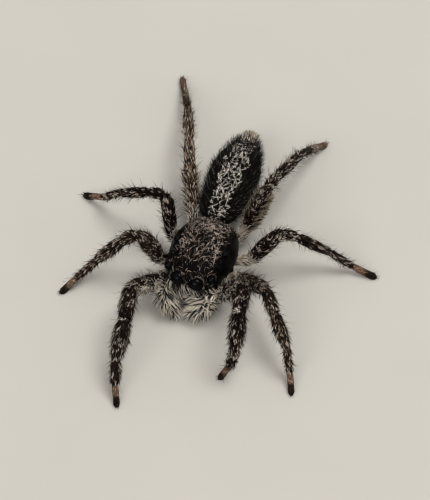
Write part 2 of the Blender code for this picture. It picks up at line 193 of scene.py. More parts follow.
def net(points, size, seed):
    """How far each point is from the border of its cell, in the points' units, and the way across that border."""
    q = points / size
    base = np.floor(q).astype(np.int64)
    near, next_near = np.full(len(points), 9.0), np.full(len(points), 9.0)
    a, b = np.zeros_like(q), np.zeros_like(q)
    for code in range(27):
        cell = base + np.array([code % 3 - 1, code // 3 % 3 - 1, code // 9 - 1])
        centre = cell + np.stack([hashed(cell, seed + k) for k in range(3)], axis=1)
        d = lengths(q - centre)
        nearest = d < near
        second = ~nearest & (d < next_near)
        b = np.where(nearest[:, None], a, np.where(second[:, None], centre, b))
        next_near = np.where(nearest, near, np.where(second, d, next_near))
        a = np.where(nearest[:, None], centre, a)
        near = np.where(nearest, d, near)
    apart = np.maximum(lengths(b - a), 1e-6)
    return size * (next_near ** 2 - near ** 2) / (2 * apart), unit(b - a)


def linear(colour):
    """An sRGB colour given from 0 to 255, as linear light."""
    c = np.asarray(colour, float) / 255
    return np.where(c <= 0.04045, c / 12.92, ((c + 0.055) / 1.055) ** 2.4)


def rows_of(items, attribute, kind=np.float32):
    """Three numbers from each item of a mesh's collection."""
    values = np.empty(len(items) * 3, kind)
    items.foreach_get(attribute, values)
    return values.reshape(-1, 3)


def mesh_data(mesh, name):
    """A new mesh made from a bmesh, which is freed."""
    data = bpy.data.meshes.new(name)
    mesh.to_mesh(data)
    mesh.free()
    return data


def linked(name, data):
    """A new object in the scene."""
    obj = bpy.data.objects.new(name, data)
    bpy.context.scene.collection.objects.link(obj)
    return obj


# ---- the frame ----

eye_boxes = [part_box(f"eye_front_middle_{side}") for side in SIDES]
eye_middle = sum((low + high for low, high in eye_boxes), Vector()) / 4
ORIGIN = np.array(eye_middle) / MM - turned((0.0, EYES["eye_front_middle"][0][1], EYES["eye_front_middle"][0][2]))
EYE_SPOTS = [
    (name, side, turned((sign * x, y, z)), radius)
    for name, ((x, y, z), radius) in EYES.items() for side, sign in SIDES.items()
]
FLESH = [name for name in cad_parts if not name.startswith("eye_")]


def node_arrays(name):
    """Points in millimetres in the spider's frame, and triangles, with equal points made one."""
    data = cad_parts[name].data
    data.calc_loop_triangles()
    points = rows_of(data.vertices, "co").astype(float) / MM - ORIGIN
    _, first, index = np.unique(np.round(points, 4), axis=0, return_index=True, return_inverse=True)
    tri = index.reshape(-1)[rows_of(data.loop_triangles, "vertices", np.int32)]
    keep = (tri[:, 0] != tri[:, 1]) & (tri[:, 1] != tri[:, 2]) & (tri[:, 0] != tri[:, 2])
    return points[first], tri[keep]


SOLIDS = {name: node_arrays(name) for name in FLESH}


def nearest_ring(points, others, count=10):
    """The middle of the points that lie closest to the others: the ring at a joint."""
    distance = np.linalg.norm(points[:, None] - others[None], axis=2).min(1)
    return points[np.argsort(distance)[:count]].mean(0)


def leg_joints(leg):
    """Six joints of a leg and its tip: sternum's edge, femur, knee and so on."""
    _, pair, side = leg.split("_")
    joints = [turned(np.array(COXA_START[int(pair)]) * (SIDES[side], 1, 1)), np.array(FEMUR_START[leg])]
    for near, far in zip(SEGMENTS, SEGMENTS[1:]):
        a, b = SOLIDS[f"{leg}_{near}"][0], SOLIDS[f"{leg}_{far}"][0]
        joints.append((nearest_ring(a, b) + nearest_ring(b, a)) / 2)
    tarsus = SOLIDS[f"{leg}_tarsus"][0]
    reach = dot(tarsus - joints[-1], unit(tarsus.mean(0) - joints[-1]))
    joints.append(tarsus[reach > reach.max() - 0.12].mean(0))
    return np.array(joints)


JOINTS = {leg: leg_joints(leg) for leg in LEGS}

# Each bone of the spider as (part, group, start, end). The group is the leg or palp it belongs to.
BONES = []
for leg in LEGS:
    for index, part in enumerate(("coxa",) + SEGMENTS):
        BONES.append((part, leg, JOINTS[leg][index], JOINTS[leg][index + 1]))
for side, path in PALP_PATHS.items():
    for near, far in zip(path, path[1:]):
        BONES.append(("palp", f"palp_{side}", np.array(near), np.array(far)))
GROUPS = ["carapace", "abdomen", "underside", "pedicel", "spinnerets", "chelicera_right", "chelicera_left"]
GROUPS += ["palp_right", "palp_left"] + LEGS
GROUP = {name: index for index, name in enumerate(GROUPS)}


# ---- the skin ----


def group_of(node):
    """The group with the longest name that this node's name starts with."""
    return next(g for g in sorted(GROUPS, key=len, reverse=True) if node.startswith(g))


def joined_solids():
    """All flesh solids in one mesh, each swollen a little so that neighbours run into each other."""
    mesh = bmesh.new()
    for name in FLESH:
        points, tri = SOLIDS[name]
        own = bmesh.new()
        verts = [own.verts.new(p) for p in points]
        for a, b, c in tri:
            try:
                own.faces.new((verts[a], verts[b], verts[c]))
            except ValueError:
                continue
        own.normal_update()
        for v in own.verts:
            v.co += v.normal * BRIDGE
        data = mesh_data(own, "part")
        mesh.from_mesh(data)
        bpy.data.meshes.remove(data)
    return mesh_data(mesh, "skin")


def apply_modifiers(obj):
    """Puts the evaluated mesh in place of the object's own."""
    bpy.context.view_layer.update()
    graph = bpy.context.evaluated_depsgraph_get()
    data = bpy.data.meshes.new_from_object(obj.evaluated_get(graph))
    old = obj.data
    obj.modifiers.clear()
    obj.data = data
    bpy.data.meshes.remove(old)


def get_points(data):
    return rows_of(data.vertices, "co").astype(float)


def set_points(data, points):
    data.vertices.foreach_set("co", np.asarray(points, np.float32).ravel())
    data.update()


def get_normals(data):
    return rows_of(data.vertex_normals, "vector").astype(float)


def smooth_mesh(obj, times, group=""):
    smooth = obj.modifiers.new("smooth", "SMOOTH")
    smooth.factor = 0.5
    smooth.iterations = times
    smooth.vertex_group = group
    apply_modifiers(obj)


class Places:
    """For points on the body: part, group, place along the bone, angle round it and the lie of the coat."""

    x = property(lambda self: self.points[:, 0])
    y = property(lambda self: self.points[:, 1])
    z = property(lambda self: self.points[:, 2])
    up = property(lambda self: self.normals[:, 2])
    from_top = property(lambda self: np.abs(self.angle))

    def __init__(self, points, normals):
        points = np.asarray(points, float)
        tri_points, tri_faces, owners = [], [], []
        base = 0
        for name in FLESH:
            p, t = SOLIDS[name]
            tri_points.append(p)
            tri_faces.append(t + base)
            owners += [GROUP[group_of(name)]] * len(t)
            base += len(p)
        tree = BVHTree.FromPolygons(np.concatenate(tri_points).tolist(), np.concatenate(tri_faces).tolist())
        owners = np.array(owners)
        self.group = owners[[tree.find_nearest(p)[2] for p in points.tolist()]]
        n = len(points)
        self.points, self.normals = points, normals
        self.part = np.zeros(n, int)
        self.along = np.tile(np.array((0.0, 1.0, 0.0)), (n, 1))
        self.t = np.zeros(n)
        self.length = np.ones(n)
        self.angle = np.zeros(n)
        for name in ("carapace", "abdomen", "underside", "pedicel", "spinnerets"):
            self.part[self.group == GROUP[name]] = PART[name]
        for side in SIDES:
            mine = self.group == GROUP[f"chelicera_{side}"]
            self.part[mine] = PART["chelicera"]
            self.along[mine] = (0.0, -0.1, -1.0)
        best = np.full(n, np.inf)
        for part, group, start, end in BONES:
            mine = np.flatnonzero(self.group == GROUP[group])
            p = points[mine]
            length = np.linalg.norm(end - start)
            axis = (end - start) / length
            t = dot(p - start, axis[None]) / length
            off = p - (start + np.clip(t, 0, 1)[:, None] * (end - start))
            d = lengths(off)
            take = d < best[mine]
            chosen = mine[take]
            best[chosen] = d[take]
            side = unit(np.cross(UP, axis))
            dorsal = np.cross(axis, side)
            self.part[chosen] = PART[part]
            self.along[chosen] = axis
            self.t[chosen] = np.clip(t[take], 0, 1)
            self.length[chosen] = length
            self.angle[chosen] = np.arctan2(off[take] @ side, off[take] @ dorsal)
        body = self.part <= PART["spinnerets"]
        self.across = self.x - np.where(self.y > ABDOMEN_START, abdomen_axis(self.y), 0.0)
        self.angle[body] = np.arctan2(self.across, self.z - BODY_MIDDLE)[body]
        self.t[body] = ((self.y - BODY_FRONT) / BODY_LENGTH)[body]

    def take(self, index):
        other = object.__new__(Places)
        for key, value in self.__dict__.items():
            setattr(other, key, value[index])
        return other

    def is_part(self, *names):
        return np.isin(self.part, [PART[n] for n in names])

    def is_group(self, *names):
        return np.isin(self.group, [GROUP[n] for n in names])

    def by_part(self, values, usual=1.0):
        """For each point the value of its part, or the usual one."""
        return np.array([values.get(name, usual) for name in PARTS])[self.part]


def abdomen_axis(y):
    """How far the abdomen's middle lies to the left at this place."""
    return 0.12 + 0.028 * (y - ABDOMEN_START)


def make_skin():
    """One closed skin round all flesh solids, inside them by the coat's depth, and its points' places."""
    obj = linked("skin", joined_solids())
    remesh = obj.modifiers.new("remesh", "REMESH")
    remesh.mode = "VOXEL"
    remesh.voxel_size = VOXEL
    apply_modifiers(obj)
    smooth_mesh(obj, SMOOTHING)
    where = Places(get_points(obj.data), get_normals(obj.data))
    group = obj.vertex_groups.new(name="trunk")
    group.add(np.flatnonzero(where.is_part("carapace", "abdomen")).tolist(), 1.0, "REPLACE")
    smooth_mesh(obj, TRUNK_SMOOTHING, "trunk")
    points, normals = get_points(obj.data), get_normals(obj.data)
    joint = np.minimum(where.t, 1 - where.t) * where.length
    crease = np.where(where.part > PART["coxa"], CREASE_DEPTH * bump(joint, 0.0, CREASE_HALF), 0.0)
    crease[where.is_part("tarsus") & (where.t > 0.5)] = 0.0
    depth = where.by_part(COAT_DEPTH) + BRIDGE + crease
    near_eye = np.zeros(len(points))
    for _, _, centre, radius in EYE_SPOTS:
        d = lengths(points - centre)
        near_eye = np.maximum(near_eye, 1 - step(d, radius + 0.10, radius + 0.22))
    depth = depth * (1 - near_eye)
    moved = points - normals * depth[:, None]
    # The flats of the feet stay on the floor.
    low = points[:, 2] < 0.10
    moved[low, 2] = np.minimum(moved[low, 2], np.maximum(points[low, 2], 0.0))
    moved[:, 2] = np.maximum(moved[:, 2], 0.0)
    for _, _, centre, radius in EYE_SPOTS:
        off = moved - centre
        d = lengths(off)
        pull = EYE_SOCKET * (1 - step(d, radius + 0.08, radius + 0.24))
        near = d < radius + 0.25
        moved[near] = (centre + unit(off) * (d - pull)[:, None])[near]
    set_points(obj.data, moved)
    smooth_mesh(obj, 1)
    where.points, where.normals = get_points(obj.data), get_normals(obj.data)
    return obj, where


skin, skin_where = make_skin()


# ---- markings ----


def curve(y, *pairs):
    """A smooth curve through (y, value) pairs."""
    ys = np.array([a for a, _ in pairs])
    vs = np.array([b for _, b in pairs])
    fine = np.linspace(ys[0], ys[-1], 200)
    values = np.interp(fine, ys, vs)
    kernel = np.ones(9) / 9
    padded = np.pad(values, 4, mode="edge")
    return np.interp(y, fine, np.convolve(padded, kernel, mode="valid"))


def band_edges(y):
    """The right and left edge of the pale band along the back, from the abdomen's middle line."""
    right = curve(
        y, (1.4, 0.26), (2.1, 0.30), (2.9, 0.42), (3.55, 0.42), (3.9, 0.56), (4.2, 0.44), (4.7, 0.46),
        (5.05, 0.68), (5.3, 0.46), (5.8, 0.50), (6.4, 0.55), (7.1, 0.50),
    )
    left = curve(
        y, (1.4, 0.32), (2.1, 0.42), (2.9, 0.46), (3.55, 0.52), (3.9, 0.70), (4.2, 0.52), (4.7, 0.48),
        (5.05, 0.78), (5.35, 0.42), (5.8, 0.48), (6.4, 0.55), (7.1, 0.50),
    )
    return right, left


def inside_band(w):
    """How far inside the pale band each place of the abdomen lies, below 0 outside it."""
    right, left = band_edges(w.y)
    wobble = 0.12 * (noise(w.points, 0.22, 11) - 0.5)
    return np.where(w.across < 0, w.across + right, left - w.across) + wobble


def band_net(w):
    """The net of pale lines in the band: how far each place is from a line, and the way across it."""
    stretch = np.ones((len(w.points), 3))
    stretch[:, 1] = np.where(w.y < 3.2, 0.62, 0.85)
    return net(w.points * stretch, 0.225, 21)


def tail_patches(w):
    """1 where pale scales are left at the rear of the band."""
    return patches(w, 0.20, 13, 0.46, 0.60)


def abdomen_pale(w):
    """How pale the abdomen's coat is: 0 for black, 1 for the palest lines of the band."""
    inside = inside_band(w)
    band = step(inside, -0.02, 0.04)
    gap, _ = band_net(w)
    line = 1 - step(gap, 0.020, 0.050)
    edge = bump(inside, 0.05, 0.09)
    tail = step(w.y, 5.6, 6.4)
    pale = band * np.maximum(line * (0.62 + 0.38 * edge), 0.55 * edge)
    pale = pale * (1 - 0.4 * tail * (1 - tail_patches(w)))
    low = step(w.from_top, 1.75, 2.3)
    grey = low * (0.12 + 0.30 * patches(w, 0.30, 14, 0.45, 0.65))
    end = step(w.y, 6.75, 7.0) * 0.45
    return np.clip(np.maximum.reduce([pale, grey, end]), 0, 1)


# Patches of pale scales on the carapace before its turn: (x, y, half width, half length, amount).
CARAPACE_PATCHES = (
    (0.0, 0.75, 0.80, 0.55, 0.46), (-0.45, 1.35, 0.55, 0.40, 0.42), (0.35, 1.25, 0.45, 0.40, 0.34),
    (-0.73, -0.83, 0.22, 0.35, 0.62), (0.84, -0.85, 0.20, 0.50, 0.66), (0.05, -0.82, 0.14, 0.22, 0.62),
    (0.64, 0.31, 0.30, 0.35, 0.50), (-0.44, -0.10, 0.35, 0.40, 0.42), (-0.24, -1.45, 0.25, 0.20, 0.35),
)


def carapace_pale(w):
    """How many pale scales grow at each place of the carapace."""
    x, y, _ = turned(w.points, back=True).T
    side = np.maximum(step(-x, 1.02, 1.20), step(x, 0.90, 1.04)) * step(y, -1.7, -1.3)
    top = step(w.up, 0.50, 0.75)
    amount = 0.23 - 0.18 * step(-y, 1.25, 1.65)
    for cx, cy, half_width, half_length, much in CARAPACE_PATCHES:
        d = np.hypot((x - cx) / half_width, (y - cy) / half_length)
        amount = np.maximum(amount, much * (1 - step(d, 0.55, 1.30)))
    speckle = patches(w, 0.26, 31, 0.36, 0.62)
    return np.clip(amount * (0.45 + 0.55 * speckle) * (1 - side) * (0.08 + 0.92 * top), 0, 1)


# Pale rings of the legs: where along the segment, half width in millimetres and how pale.
RINGS = {
    "femur": ((0.10, 0.22, 0.30), (0.96, 0.08, 0.50)), "patella": ((0.60, 0.12, 0.35), (0.99, 0.06, 0.25)),
    "tibia": ((0.45, 0.16, 0.22), (0.97, 0.07, 0.45)),
    "metatarsus": ((0.10, 0.10, 0.25), (0.62, 0.12, 0.15)),
}
# How pale each leg is as a whole, over the front pair.
LEG_LIGHTNESS = {
    "leg_1_right": 0.03, "leg_1_left": 0.0, "leg_2_right": 0.12, "leg_2_left": 0.12, "leg_3_right": -0.12,
    "leg_3_left": -0.03, "leg_4_right": 0.36, "leg_4_left": 0.02,
}


def leg_pale(w):
    """How pale the coat of the legs is."""
    lightness = np.array([LEG_LIGHTNESS.get(name, 0.0) for name in GROUPS])[w.group]
    patch = patches(w, 0.19, 41, 0.48, 0.64)
    fine = patches(w, 0.09, 42, 0.50, 0.66)
    amount = 0.04 + 0.34 * patch + 0.34 * fine + lightness
    for name, rings in RINGS.items():
        mine = w.is_part(name)
        for at, half, much in rings:
            ring = much * bump(w.t, at, 1.6 * half / np.maximum(w.length, 0.5))
            amount = np.where(mine, amount + ring * (0.45 + 0.55 * patch), amount)
    amount = amount + 0.12 * (w.is_part("tibia") & w.is_group("leg_4_left"))
    hind_shin = w.is_part("metatarsus") & w.is_group(*HIND_LEGS)
    amount = np.where(hind_shin, amount * 0.25 + 0.45 * step(w.t, 0.42, 0.56), amount)
    knee = w.is_part("patella") * step(w.t, 0.80, 0.88) + w.is_part("tibia") * (1 - step(w.t, 0.08, 0.14))
    amount = amount * (1 - 0.8 * knee * w.is_group(*FRONT_LEGS))
    amount = np.where(w.is_part("coxa"), 0.45 + 0.3 * patch, amount)
    return np.clip(amount, 0, 1)


def black_foot(w):
    """1 on the black end of each foot, which is only faint on the last pair."""
    faint = np.where(w.is_group(*HIND_LEGS), 0.25, 1.0)
    return faint * w.is_part("tarsus") * step(w.t, 0.46, 0.60)


def olive_end(w):
    """1 on the end of the hind legs, which is olive right to the tip."""
    end = w.is_part("metatarsus") * step(w.t, 0.42, 0.56) + w.is_part("tarsus")
    return end * w.is_group(*HIND_LEGS)


# How pale the other parts are.
PART_PALE = {"palp": 0.35, "underside": 0.25, "pedicel": 0.25, "chelicera": 0.10, "tarsus": 0.75, "spinnerets": 0.7}


def pale_of(w):
    """The markings all over the body, on which the skin's colour depends."""
    pale = np.where(w.is_part("abdomen"), abdomen_pale(w), leg_pale(w))
    pale = np.where(w.is_part("carapace"), 0.5 * carapace_pale(w), pale)
    return np.where(w.is_part(*PART_PALE), w.by_part(PART_PALE), pale)


# Skin colours, from the darkest place to the palest, for each part.
SKIN_TONES = {
    "carapace": ((4, 3, 3), (22, 17, 15)),
    "abdomen": ((4, 3, 3), (40, 34, 30)),
    "underside": ((34, 25, 19), (58, 44, 35)),
    "pedicel": ((26, 20, 16), (44, 34, 27)),
    "spinnerets": ((60, 50, 43), (96, 84, 74)),
    "chelicera": ((12, 8, 6), (30, 20, 15)),
    "palp": ((6, 5, 4), (34, 27, 22)),
    "coxa": ((24, 18, 14), (64, 52, 44)),
    "femur": ((6, 5, 4), (42, 33, 27)),
    "patella": ((6, 5, 4), (44, 35, 28)),
    "tibia": ((6, 5, 4), (44, 35, 28)),
    "metatarsus": ((11, 8, 7), (52, 40, 32)),
    "tarsus": ((34, 25, 20), (96, 76, 62)),
}
BARE_SKIN = (176, 160, 140)


def leg_base(w):
    """1 where a leg leaves the body, which is bare and cream on the left side."""
    start = w.is_part("coxa") * step(w.t, 0.3, 0.6) + w.is_part("femur") * (1 - step(w.t, 0.10, 0.20))
    return start * w.is_group("leg_2_left", "leg_3_left", "leg_4_left")


def skin_tone(w):
    """The skin's own colour."""
    dark, light = (np.array([linear(SKIN_TONES[name][end]) for name in PARTS])[w.part] for end in (0, 1))
    tone = dark + (light - dark) * pale_of(w)[:, None]
    tone = tone + (linear(BARE_SKIN) - tone) * leg_base(w)[:, None]
    return tone * (1 - 0.90 * black_foot(w)[:, None])


def set_tone(data, values):
    """Gives each point of a mesh its colour, as linear light."""
    layer = data.attributes.new("tone", "FLOAT_COLOR", "POINT")
    rgba = np.ones((len(values), 4), np.float32)
    rgba[:, :3] = values
    layer.data.foreach_set("color", rgba.ravel())


# ---- materials ----


class Nodes:
    """A Principled material with a few shorthand ways to wire nodes to it."""

    def __init__(self, name, **settings):
        self.material = bpy.data.materials.new(name)
        self.material.use_nodes = True
        self.tree = self.material.node_tree
        self.shader = self.tree.nodes["Principled BSDF"]
        for socket, value in settings.items():
            self.shader.inputs[socket.replace("_", " ")].default_value = value

    def node(self, kind, output, inputs, **settings):
        """The output of a new node with these settings. Each of its inputs is a value or a socket to link."""
        made = self.tree.nodes.new(kind)
        for key, value in settings.items():
            setattr(made, key, value)
        for key, value in inputs.items():
            if isinstance(value, bpy.types.NodeSocket):
                self.tree.links.new(value, made.inputs[key])
            else:
                made.inputs[key].default_value = value
        return made.outputs[output]

    def feed(self, socket, output):
        self.tree.links.new(output, self.shader.inputs[socket])

    def attribute(self, name, output):
        return self.node("ShaderNodeAttribute", output, {}, attribute_name=name)

    def noise(self, size_mm, detail):
        place = self.node("ShaderNodeTexCoord", "Object", {})
        inputs = {"Vector": place, "Scale": 1.0 / (size_mm * MM), "Detail": detail, "Roughness": 0.55}
        return self.node("ShaderNodeTexNoise", "Fac", inputs)

    def ranged(self, value, low, high, to_low, to_high):
        inputs = {"Value": value, "From Min": low, "From Max": high, "To Min": to_low, "To Max": to_high}
        return self.node("ShaderNodeMapRange", "Result", inputs)

    def coloured(self, colour, factor):
        """The base colour: this one, a socket or a number for each channel, times the factor."""
        scaled = self.node("ShaderNodeVectorMath", "Vector", {0: colour, "Scale": factor}, operation="SCALE")
        self.feed("Base Color", scaled)


def skin_material():
    m = Nodes("spider_cuticle", Specular_IOR_Level=0.03)
    shade = m.ranged(m.noise(0.12, 4.0), 0.25, 0.75, 0.70, 1.35)
    m.coloured(m.attribute("tone", "Color"), shade)
    m.feed("Roughness", m.attribute("rough", "Fac"))
    relief = {"Height": m.noise(0.045, 3.0), "Strength": 0.5, "Distance": 0.02 * MM}
    m.feed("Normal", m.node("ShaderNodeBump", "Normal", relief))
    return m.material


def toned_material(name, roughness, specular, grain_mm=0.05, contrast=0.15, **settings):
    """A material in each point's own tone, made a little darker and lighter in grains of this size."""
    m = Nodes(name, Roughness=roughness, Specular_IOR_Level=specular, **settings)
    shade = m.ranged(m.noise(grain_mm, 2.0), 0.3, 0.7, 1 - contrast, 1 + contrast)
    m.coloured(m.attribute("tone", "Color"), shade)
    return m.material


SKIN = skin_material()
COAT = toned_material("spider_coat", 0.65, 0.02)
SCALES = toned_material("spider_scales", 0.50, 0.10)
BRISTLE = toned_material("spider_bristle", 0.50, 0.04)
EYE = toned_material("spider_eye", 0.20, 0.0, grain_mm=0.20, contrast=0.4, Coat_Weight=0.15, Coat_Roughness=0.02)
CLAW = toned_material("spider_claw", 0.35, 0.30)


# ---- dress the skin ----

# How rough the skin is where it has a gloss, and elsewhere.
GLOSS = {"carapace": 0.42, "chelicera": 0.30}
MATT = 0.62

set_tone(skin.data, skin_tone(skin_where))
rough = skin.data.attributes.new("rough", "FLOAT", "POINT")
rough.data.foreach_set("value", skin_where.by_part(GLOSS, MATT).astype(np.float32))
skin.data.materials.append(SKIN)
skin.data.shade_smooth()
skin.data.calc_loop_triangles()

# Every triangle of the skin: its corners, its area, where it lies and how clear it is of the eyes.
skin_tri = rows_of(skin.data.loop_triangles, "vertices", np.int32)
corner = skin_where.points[skin_tri]
face_area = lengths(np.cross(corner[:, 1] - corner[:, 0], corner[:, 2] - corner[:, 0])) / 2
face = skin_where.take(skin_tri[:, 0])
face.points = corner.mean(1)
eye_clear = np.ones(len(skin_tri))
for _, _, eye_centre, eye_radius in EYE_SPOTS:
    eye_gap = lengths(face.points - eye_centre) - eye_radius
    eye_clear *= step(eye_gap, -0.01, 0.02)


def scatter(count, weight):
    """Roots picked at random over the skin, more of them where the weight is higher."""
    share = np.cumsum(face_area * weight * eye_clear)
    picked = np.searchsorted(share, rng.random(count) * share[-1])
    picked = np.minimum(picked, len(skin_tri) - 1)
    a, b = rng.random((2, count, 1))
    flip = a + b > 1
    a, b = np.where(flip, 1 - a, a), np.where(flip, 1 - b, b)
    c = corner[picked]
    w = face.take(picked)
    w.points = c[:, 0] + a * (c[:, 1] - c[:, 0]) + b * (c[:, 2] - c[:, 0])
    n = skin_where.normals[skin_tri[picked]]
    w.normals = unit(n[:, 0] * (1 - a - b) + n[:, 1] * a + n[:, 2] * b)
    w.across = w.across + w.x - face.x[picked]
    return w


# ---- strands ----

# The rings of each kind of blade before its tip: how far along it they are, and how wide.
PROFILES = {
    "scale": ((0.0, 0.45), (0.30, 1.0), (0.72, 0.85)),
    "hair": ((0.0, 1.0), (0.45, 0.80)),
    "fine": ((0.0, 1.0), (0.35, 0.85), (0.70, 0.55)),
    "bristle": ((0.0, 1.0), (0.25, 0.90), (0.50, 0.72), (0.75, 0.45)),
    "hook": ((0.0, 0.8), (0.14, 1.0), (0.28, 1.0), (0.42, 1.0), (0.56, 0.95), (0.70, 0.85), (0.85, 0.65)),
}
# How deep the roots sit, the least height above the floor and the greatest, and the shortest cut blade.
SINK = 0.02
FLOOR_CLEARANCE = 0.01
CEILING = max(points[:, 2].max() for points, _ in SOLIDS.values()) + 0.10
SHORTEST = 0.04
NO_LIMIT = 9.0
# Each blade's room on the map.
PATCH = 0.003


def unwrap_place(w):
    """Each root's place on an unwrap of the skin: rows of parts, along each part and round it, off the map's edges."""
    rows = np.unique(w.part)
    row = np.searchsorted(rows, w.part)
    room = 1.0 / len(rows)
    u = 0.004 + 0.988 * np.clip(w.t, 0, 1)
    if len(rows) == 1:
        u = 0.004 + 0.988 * (w.t - w.t.min()) / max(np.ptp(w.t), 1e-6)
    v = (row + 0.02 + 0.95 * (w.angle / (2 * np.pi) + 0.5)) * room
    return np.stack([u, np.clip(v, 0.002, 0.994)], axis=1)


def blade_faces(places):
    """The triangles of one blade and its patch of the map, for rings of three corners and a tip."""
    count = len(places) - 1
    tip = count * 3
    faces = [(2, 1, 0)]
    patch = [((0.1, 0.0), (0.9, 0.0), (0.5, 0.2))]
    for k in range(count - 1):
        v0, v1 = places[k], places[k + 1]
        for j in range(3):
            a, b = 3 * k + j, 3 * k + (j + 1) % 3
            u0, u1 = j / 3, (j + 1) / 3
            faces += [(a, b, b + 3), (a, b + 3, a + 3)]
            patch += [((u0, v0), (u1, v0), (u1, v1)), ((u0, v0), (u1, v1), (u0, v1))]
    top = 3 * (count - 1)
    for j in range(3):
        faces.append((top + j, top + (j + 1) % 3, tip))
        patch.append(((j / 3, places[-2]), ((j + 1) / 3, places[-2]), ((j + 0.5) / 3, 1.0)))
    return np.array(faces)[:, ::-1], np.array(patch)[:, ::-1]


def drawn(n, span):
    """Random numbers within a span of (low, high), times a third number if it has one. A single number stands
    for that much either side of 0, and an array stays as it is."""
    if isinstance(span, np.ndarray):
        return span
    low, high, factor = (*span, 1.0)[:3] if isinstance(span, tuple) else (-span, span, 1.0)
    return (low + (high - low) * rng.random(n)) * factor


def blend(dark_tone, pale_tone, amount):
    """Colours this far from the dark one to the pale one, as linear light."""
    dark, light = linear(dark_tone), linear(pale_tone)
    return dark + (light - dark) * amount[:, None]


def mixed_tone(n, pale, dark_tone, pale_tone, spread):
    """A colour for each strand: dark or pale by chance, with pale as the odds, and brighter or less so."""
    amount = np.where(rng.random(n) < pale, 0.60 + 0.40 * rng.random(n), 0.10 * rng.random(n))
    return blend(dark_tone, pale_tone, amount) * (1 + spread * (rng.random(n) * 2 - 1))[:, None]


def clumped_tone(w, pale, dark_tone, pale_tone):
    """Like mixed_tone, but hairs with close roots share their colour, so that they show as streaks."""
    clump = patches(w, 0.09, 61, 0.30, 0.70)
    amount = np.where(clump < pale, 0.65 + 0.35 * rng.random(len(clump)), 0.08 * rng.random(len(clump)))
    return blend(dark_tone, pale_tone, amount)


def strands(name, w, lie, tone, kind, material, painted_root_shade=0.7, *, length, width, flat, rise, bend, curl):
    """Closed tapering blades, all in one mesh. The tone is a colour for each, or what mixed_tone draws it from.
    The sizes, in millimetres, and the angles, in degrees, are spans for drawn(). Each blade's colour has painted
    shade:
    it runs from a darker share of its tone at the root, the number after the material, to a little above full tone at
    the tip."""
    n = len(w.points)
    if isinstance(tone, tuple):
        tone = mixed_tone(n, *tone)
    length, width = drawn(n, length)[:, None], drawn(n, width)[:, None]
    rise, bend, curl = (np.radians(drawn(n, span))[:, None] for span in (rise, bend, curl))
    along = tangent(lie, w.normals)
    side = np.cross(along, w.normals)
    places = [s for s, _ in PROFILES[kind]] + [1.0]
    headings, before = [], 0.0
    for s in places:
        middle = (s + before) / 2
        up, turn = rise - bend * middle, curl * middle
        flat_way = along * (np.cos(up) * np.cos(turn)) + side * (np.cos(up) * np.sin(turn))
        headings.append(flat_way + w.normals * np.sin(up))
        before = s
    root = w.points - w.normals * SINK
    height = root[:, 2:]
    reach = sum(heading * (s - last) for heading, s, last in zip(headings, places, [0.0] + places))[:, 2:]
    above = np.where(reach > 0, (CEILING - height) / np.maximum(reach, 1e-6), NO_LIMIT)
    below = np.where(reach < 0, (height - FLOOR_CLEARANCE) / np.maximum(-reach, 1e-6), NO_LIMIT)
    length = np.minimum(length, np.clip(np.minimum(above, below), SHORTEST, NO_LIMIT))
    centre, rings, before = root, [], 0.0
    for (s, wide), heading in zip(PROFILES[kind], headings):
        centre = centre + heading * (length * (s - before))
        before = s
        across = unit(np.cross(heading, w.normals))
        over = np.cross(across, heading)
        half = width * wide / 2
        low = centre - over * (half * flat * 0.5)
        rings.append(np.stack([low - across * half, low + across * half, centre + over * (half * flat)], axis=1))
    tip = centre + headings[-1] * (length * (1 - before))
    points = np.concatenate([np.stack(rings, axis=1).reshape(n, len(rings) * 3, 3), tip[:, None]], axis=1)
    faces, patch = blade_faces(places)
    index = (faces[None] + (np.arange(n) * points.shape[1])[:, None, None]).reshape(-1)
    uv = unwrap_place(w)[:, None, None, :] + (patch[None] - 0.5) * PATCH
    # Painted shade: each blade is darker towards its root, where the coat shades itself, and a little brighter at its
    # tip.
    shade = np.concatenate([np.repeat(painted_root_shade + (1 - painted_root_shade) * np.array(places[:-1]) ** 0.7, 3), [1.05]])
    colour = tone[:, None, :] * shade[None, :, None]
    obj = mesh_object(name, points.reshape(-1, 3), index, material)
    layer = obj.data.uv_layers.new(name="OFBake")
    layer.data.foreach_set("uv", uv.astype(np.float32).ravel())
    set_tone(obj.data, colour.reshape(-1, 3))
    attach(obj, "root")


def mesh_object(name, points, corners, material):
    """A triangle mesh object from points in millimetres in the spider's frame."""
    data = bpy.data.meshes.new(name)
    data.vertices.add(len(points))
    data.vertices.foreach_set("co", ((points + ORIGIN) * MM).astype(np.float32).ravel())
    data.loops.add(len(corners))
    data.loops.foreach_set("vertex_index", corners.astype(np.int32))
    data.polygons.add(len(corners) // 3)
    data.polygons.foreach_set("loop_start", np.arange(0, len(corners), 3, dtype=np.int32))
    data.update(calc_edges=True)
    data.shade_smooth()
    data.materials.append(material)
    return linked(name, data)


# ---- the coat ----

# Hair colours: the dark ones, the tan of the feet and the pale ones.
BLACK_HAIR = (5, 4, 3)
DARK_HAIR = (10, 7, 6)
SOOTY_HAIR = (16, 11, 8)
UMBER_HAIR = (22, 15, 10)
BROWN_HAIR = (52, 38, 29)
TAN_HAIR = (160, 130, 106)
PALE_HAIR = (226, 210, 194)
WHITE_HAIR = (248, 240, 228)
CREAM_HAIR = (251, 240, 223)


